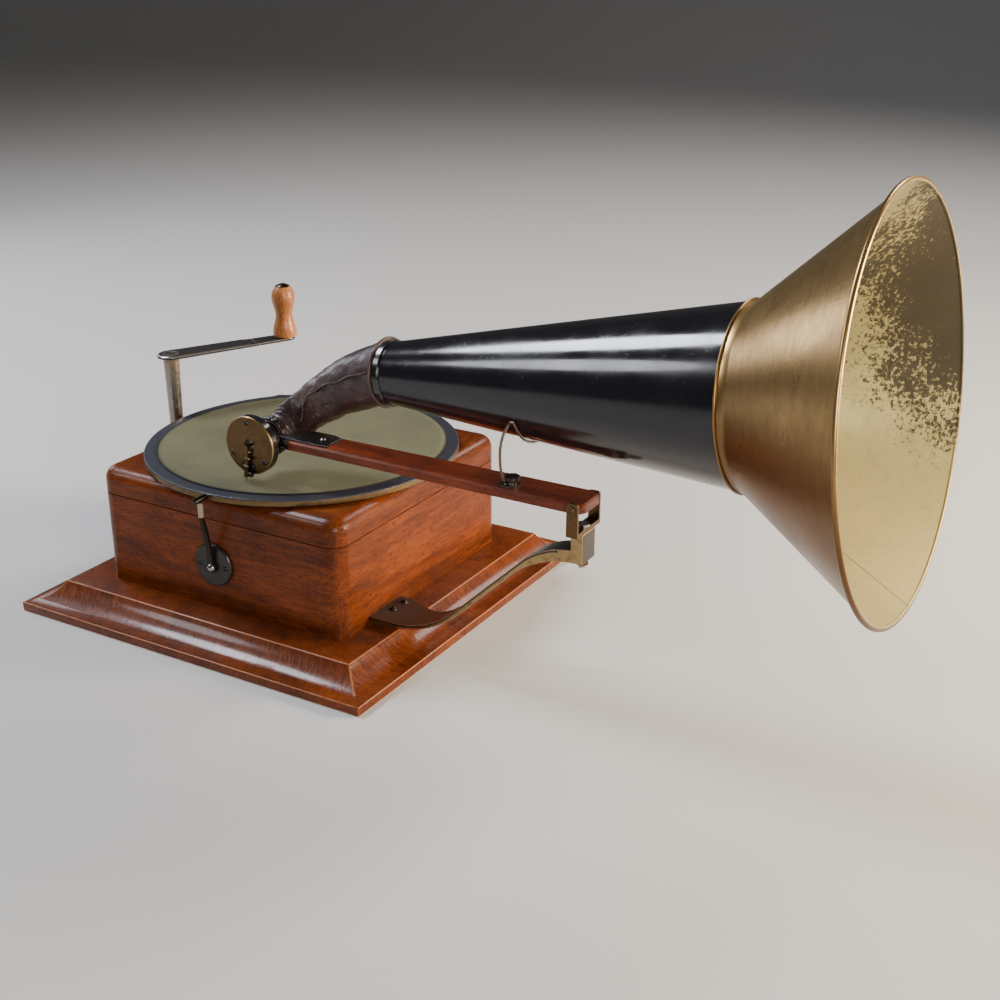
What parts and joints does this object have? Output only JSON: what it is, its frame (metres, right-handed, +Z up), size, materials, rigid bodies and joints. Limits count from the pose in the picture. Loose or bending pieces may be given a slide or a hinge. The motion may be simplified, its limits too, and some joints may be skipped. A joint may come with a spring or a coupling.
{
  "type": "gramophone",
  "caption": "Table gramophone: wooden case on a moulded plinth, spring motor, turntable, travelling arm with soundbox, leather elbow and a black cone horn with a brass bell.",
  "frame": {"origin": "centre of the plinth's underside, below the turntable's spindle", "axes": "+Z up along the spindle, +X to the right along the horn's mouth, -Y the front with the brake"},
  "size_m": [0.6798, 0.3507, 0.3873],
  "materials": {
    "mahogany": "semi-gloss",
    "plain_wood": "matte",
    "red_mahogany": "semi-gloss",
    "turned_wood": "semi-gloss",
    "black_iron": "gloss, worn edges",
    "dark_steel": "worn",
    "nickel": "polished",
    "bright_steel": "satin",
    "spring_steel": "blued",
    "needle_steel": "polished",
    "worn_steel": "worn, bright edges",
    "brown_iron": "dark, worn",
    "motor_brass": "satin",
    "aged_brass": "tarnished",
    "horn_brass": "satin, tarnished inside",
    "turntable_paint": "semi-gloss",
    "black_lacquer": "gloss, flaked",
    "felt": "felt",
    "leather": "creased",
    "rubber": "matte",
    "mica": "clear",
    "ivory": "semi-gloss"
  },
  "bodies": {
    "base": {"plinth": "mahogany", "bottom_board": "plain_wood", "case_body": "mahogany", "lid": "mahogany", "horn_bracket": "black_iron", "case_screws": "dark_steel", "brake_plate": "black_iron", "brake_pivot": "nickel", "crank_housing": "black_iron", "motor_top_plate": "motor_brass", "motor_bottom_plate": "motor_brass", "motor_pillars": "bright_steel", "motor_hangers": "bright_steel"},
    "turntable": {"turntable": "turntable_paint", "turntable_mat": "felt", "record_pin": "nickel", "spindle": "bright_steel", "governor_wheel": "motor_brass"},
    "barrel": {"barrel_drum": "motor_brass", "barrel_gear": "motor_brass", "mainspring": "spring_steel"},
    "winding_arbor": {"barrel_arbor": "bright_steel", "winding_wheel": "motor_brass"},
    "intermediate": {"intermediate_arbor": "bright_steel", "intermediate_wheel": "motor_brass"},
    "governor": {"governor_shaft": "bright_steel", "governor_weights": "motor_brass"},
    "crank": {"crank_shaft": "worn_steel", "crank_arm": "worn_steel", "crank_pin": "bright_steel", "crank_cap": "dark_steel"},
    "crank_grip": {"crank_grip": "turned_wood"},
    "brake": {"brake_lever": "brown_iron", "brake_ferrule": "ivory", "brake_pad": "dark_steel"},
    "yoke": {"yoke": "aged_brass", "yoke_stem": "bright_steel", "stem_nut": "aged_brass", "arm_pin": "aged_brass"},
    "arm": {"travel_arm": "red_mahogany", "arm_saddle": "black_iron", "arm_screws": "nickel", "neck": "black_iron", "elbow": "leather", "horn_collar": "black_iron", "horn_cone": "black_lacquer", "horn_bell": "horn_brass", "wire_cradle": "nickel", "cradle_base": "nickel", "soundbox_shell": "black_iron", "soundbox_face": "aged_brass", "face_screws": "dark_steel", "diaphragm_gaskets": "rubber", "diaphragm": "mica", "stylus_bracket": "dark_steel"},
    "cradle_screw": {"cradle_screw": "dark_steel"},
    "stylus": {"stylus_bar": "dark_steel", "needle": "needle_steel"},
    "needle_screw": {"needle_screw": "dark_steel"}
  },
  "joints": [
    {"name": "turntable_spin", "type": "hinge", "parent": "base", "child": "turntable", "pos_m": [0, 0, 0.1192], "axis": [0, 0, 1], "continuous": true},
    {"name": "barrel_spin", "type": "hinge", "parent": "base", "child": "barrel", "pos_m": [-0.06772, 0.024, 0.05], "axis": [0, 0, 1], "continuous": true},
    {"name": "intermediate_spin", "type": "hinge", "parent": "base", "child": "intermediate", "pos_m": [-0.03739, -0.00284, 0.05], "axis": [0, 0, 1], "continuous": true},
    {"name": "governor_spin", "type": "hinge", "parent": "base", "child": "governor", "pos_m": [0.02546, -0.02546, 0.05], "axis": [0, 0, 1], "continuous": true},
    {"name": "crank_turn", "type": "hinge", "parent": "base", "child": "crank", "pos_m": [-0.144, 0.0077, 0.09], "axis": [0, 0, 1], "continuous": true},
    {"name": "winding_spin", "type": "hinge", "parent": "base", "child": "winding_arbor", "pos_m": [-0.06772, 0.024, 0.034], "axis": [0, 0, 1], "continuous": true},
    {"name": "grip_spin", "type": "hinge", "parent": "crank", "child": "crank_grip", "pos_m": [-0.09489, 0.10164, 0.18], "axis": [0, 0, 1], "continuous": true},
    {"name": "arm_swing", "type": "hinge", "parent": "base", "child": "yoke", "pos_m": [0.292, -0.069, 0.125], "axis": [0, 0, 1], "range_deg": [-18, 15]},
    {"name": "arm_lift", "type": "hinge", "parent": "yoke", "child": "arm", "pos_m": [0.292, -0.069, 0.1565], "axis": [0, 1, 0], "range_deg": [0, 25]},
    {"name": "brake_turn", "type": "hinge", "parent": "base", "child": "brake", "pos_m": [-0.0007, -0.118, 0.059], "axis": [0, 1, 0], "range_deg": [0, 35]},
    {"name": "cradle_screw_turn", "type": "hinge", "parent": "arm", "child": "cradle_screw", "pos_m": [0.2415, -0.0775, 0.165], "axis": [0, 0, 1], "continuous": true},
    {"name": "stylus_rock", "type": "hinge", "parent": "arm", "child": "stylus", "pos_m": [0.02211, -0.0966, 0.13887], "axis": [0.9959, 0, -0.0906], "range_deg": [-1, 1], "stiffness_Nm_per_rad": 0.5},
    {"name": "needle_screw_turn", "type": "hinge", "parent": "stylus", "child": "needle_screw", "pos_m": [0.02166, -0.0966, 0.13389], "axis": [0.9959, 0, -0.0906], "continuous": true}
  ],
  "couplings": [
    {"joint": "intermediate_spin", "follows": "turntable_spin", "ratio": -0.25},
    {"joint": "barrel_spin", "follows": "turntable_spin", "ratio": 0.056818},
    {"joint": "governor_spin", "follows": "turntable_spin", "ratio": -5},
    {"joint": "winding_spin", "follows": "crank_turn", "ratio": -0.3}
  ]
}
